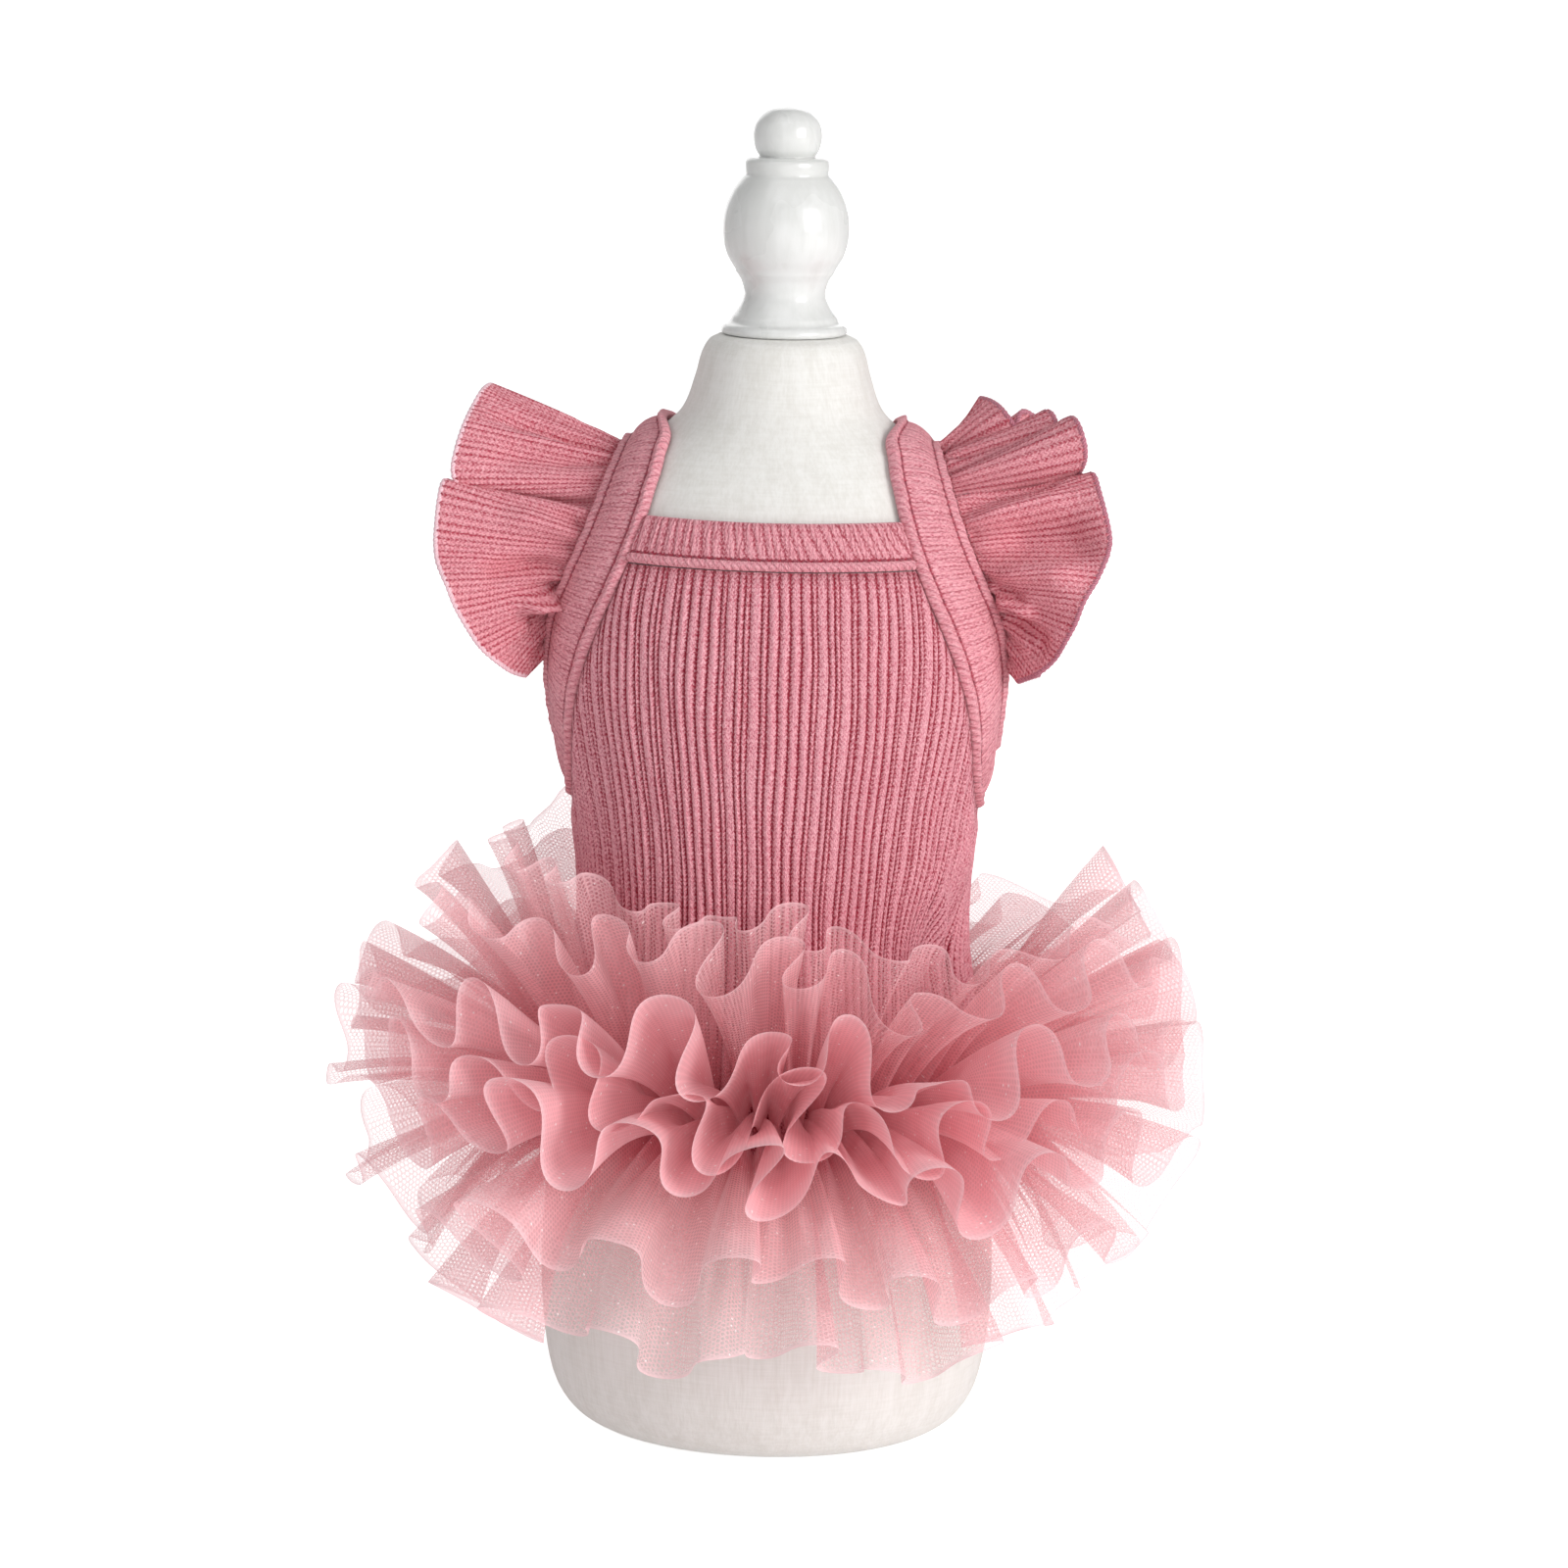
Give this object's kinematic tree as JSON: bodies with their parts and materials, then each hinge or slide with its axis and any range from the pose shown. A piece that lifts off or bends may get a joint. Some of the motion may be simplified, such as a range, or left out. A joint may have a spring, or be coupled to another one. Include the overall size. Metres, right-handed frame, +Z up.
{
  "type": "dog dress on dress form",
  "caption": "Small-dog dress with a ribbed knit bodice, bound square neck, flutter sleeves and a layered tulle tutu skirt, on a limbless padded form with a turned finial.",
  "frame": {"origin": "middle of the form's flat underside, on the surface it stands on", "axes": "+Z up along the form and its finial, -Y towards the front of the dress, +X towards the wearer's left"},
  "size_m": [0.2397, 0.2269, 0.3621],
  "materials": {
    "form_linen": "off-white linen cover stretched smooth over the padded form, fine vertical weave",
    "finial_lacquer": "turned wood under white gloss lacquer",
    "rib_knit": "dusty rose heathered rib knit, matt and soft",
    "binding_knit": "dusty rose rib knit cut across the ribs and folded into a binding",
    "sleeve_knit": "dusty rose rib knit, gathered, with a pale overlocked edge",
    "tulle": "sheer dusty pink tulle net with a faint glitter"
  },
  "bodies": {
    "root": {"form_body": "form_linen", "form_finial": "finial_lacquer", "bodice_front": "rib_knit", "bodice_back": "rib_knit", "neck_band_front": "binding_knit", "neck_band_back": "binding_knit", "armhole_binding_left": "binding_knit", "armhole_binding_right": "binding_knit", "flutter_sleeve_left": "sleeve_knit", "flutter_sleeve_right": "sleeve_knit", "tulle_tier_1": "tulle", "tulle_tier_2": "tulle", "tulle_tier_3": "tulle", "tulle_tier_4": "tulle", "tulle_tier_5": "tulle", "tulle_tier_6": "tulle"}
  },
  "joints": []
}
